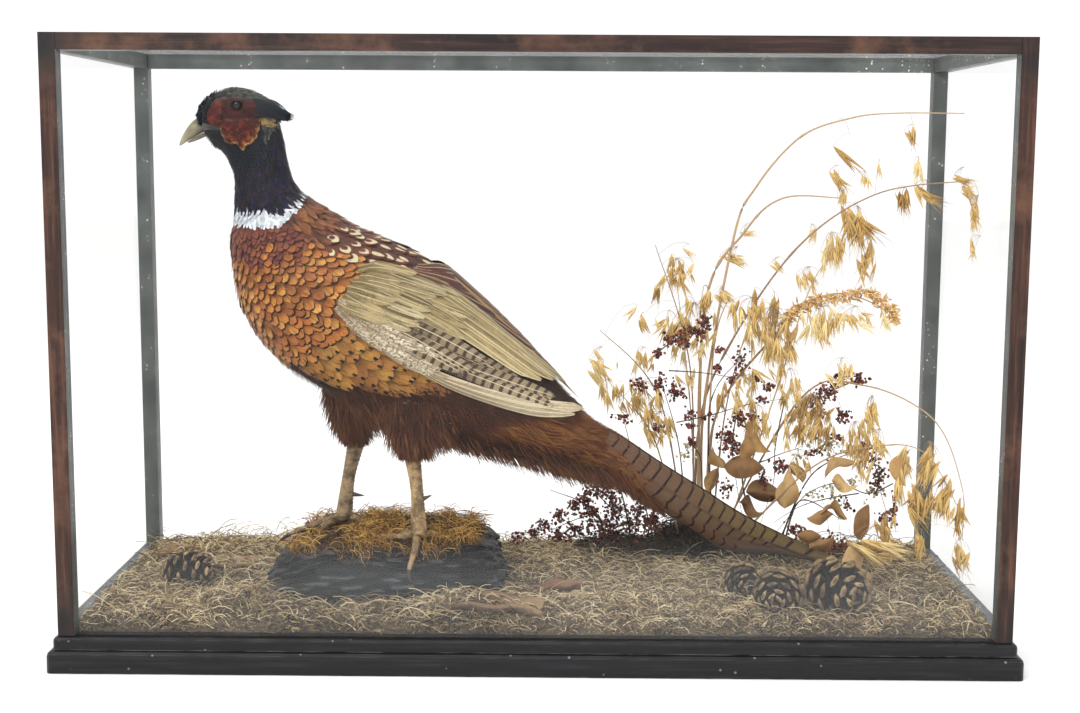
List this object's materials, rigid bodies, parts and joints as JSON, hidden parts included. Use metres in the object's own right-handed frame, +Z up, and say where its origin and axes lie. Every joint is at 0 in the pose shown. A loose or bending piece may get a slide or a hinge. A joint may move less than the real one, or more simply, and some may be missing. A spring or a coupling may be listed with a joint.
{
  "type": "taxidermy pheasant in a glazed case",
  "caption": "Mounted cock pheasant standing on a mossy rock among dried plants, fixed inside a long glazed wooden display case on a black moulded base.",
  "frame": {"origin": "middle of the underside of the case's base", "axes": "+X along the case, away from the bird's head; +Y from the front pane to the back pane; +Z up"},
  "size_m": [0.828, 0.328, 0.535],
  "materials": {
    "ebonised_pine": "satin black, worn",
    "stained_mahogany": "satin",
    "window_glass": "clear",
    "dried_moss_ground": "matte, fibrous",
    "slate_and_moss": "matte",
    "pine_cone": "matte",
    "bark": "matte",
    "dried_grass": "matte",
    "dried_sorrel": "matte",
    "dried_leaf": "matte",
    "dark_green_plumage": "silky",
    "purple_neck_plumage": "silky",
    "copper_plumage": "soft",
    "chestnut_plumage": "soft",
    "barred_tail_plumage": "soft",
    "cream_wing_plumage": "soft",
    "red_face_skin": "matte",
    "horn": "satin",
    "scaly_leg_skin": "satin",
    "glass_eye": "polished"
  },
  "bodies": {
    "root": {"bark_centre": "bark", "bark_left": "bark", "base_moulding": "ebonised_pine", "base_plinth": "ebonised_pine", "bill_lower": "horn", "bill_upper": "horn", "cone_left": "pine_cone", "cone_middle": "pine_cone", "cone_right": "pine_cone", "cone_small": "pine_cone", "ear_tuft_left": "dark_green_plumage", "ear_tuft_right": "dark_green_plumage", "eye_left": "glass_eye", "eye_right": "glass_eye", "foot_left": "scaly_leg_skin", "foot_right": "scaly_leg_skin", "glass_back": "window_glass", "glass_front": "window_glass", "glass_left": "window_glass", "glass_right": "window_glass", "glass_top": "window_glass", "grass_clump": "dried_grass", "groundwork": "dried_moss_ground", "head": "dark_green_plumage", "leaf_corner": "dried_leaf", "leaf_curled": "dried_leaf", "leafy_twig": "dried_leaf", "neck": "purple_neck_plumage", "post_back_left": "stained_mahogany", "post_back_right": "stained_mahogany", "post_front_left": "stained_mahogany", "post_front_right": "stained_mahogany", "rail_back": "stained_mahogany", "rail_front": "stained_mahogany", "rail_left": "stained_mahogany", "rail_right": "stained_mahogany", "rock": "slate_and_moss", "rump": "chestnut_plumage", "shank_left": "scaly_leg_skin", "shank_right": "scaly_leg_skin", "sill_back": "stained_mahogany", "sill_left": "stained_mahogany", "sill_right": "stained_mahogany", "sorrel_clump": "dried_sorrel", "tail": "barred_tail_plumage", "thigh_left": "chestnut_plumage", "thigh_right": "chestnut_plumage", "trunk": "copper_plumage", "wattle_left": "red_face_skin", "wattle_right": "red_face_skin", "wing_left": "cream_wing_plumage", "wing_right": "cream_wing_plumage"}
  },
  "joints": []
}
